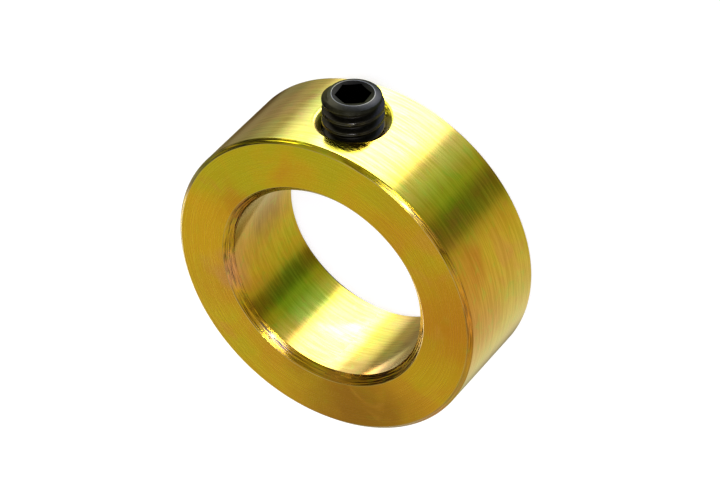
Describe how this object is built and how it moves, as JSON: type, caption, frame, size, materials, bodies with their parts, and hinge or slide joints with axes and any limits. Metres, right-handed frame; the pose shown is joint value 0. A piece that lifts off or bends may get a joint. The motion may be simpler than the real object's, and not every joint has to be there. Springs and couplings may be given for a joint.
{
  "type": "shaft collar",
  "caption": "Turned steel ring that slides on a round shaft and is locked to it by a headless socket set screw through its wall.",
  "frame": {"origin": "centre of the bore, halfway across the collar's width", "axes": "+Z along the bore, +X along the set screw, outward through the wall"},
  "size_m": [0.0379, 0.035, 0.0126],
  "materials": {
    "zinc_plate": "turned steel, zinc plated and yellow passivated, iridescent gold with rose and green patches",
    "black_oxide": "black oxide on alloy steel, satin"
  },
  "bodies": {
    "collar": {"collar_ring": "zinc_plate"},
    "screw": {"set_screw": "black_oxide"}
  },
  "joints": [
    {"name": "screw_travel", "type": "slide", "parent": "collar", "child": "screw", "axis": [1, 0, 0], "range_m": [-0.00381, 0.00127]}
  ]
}
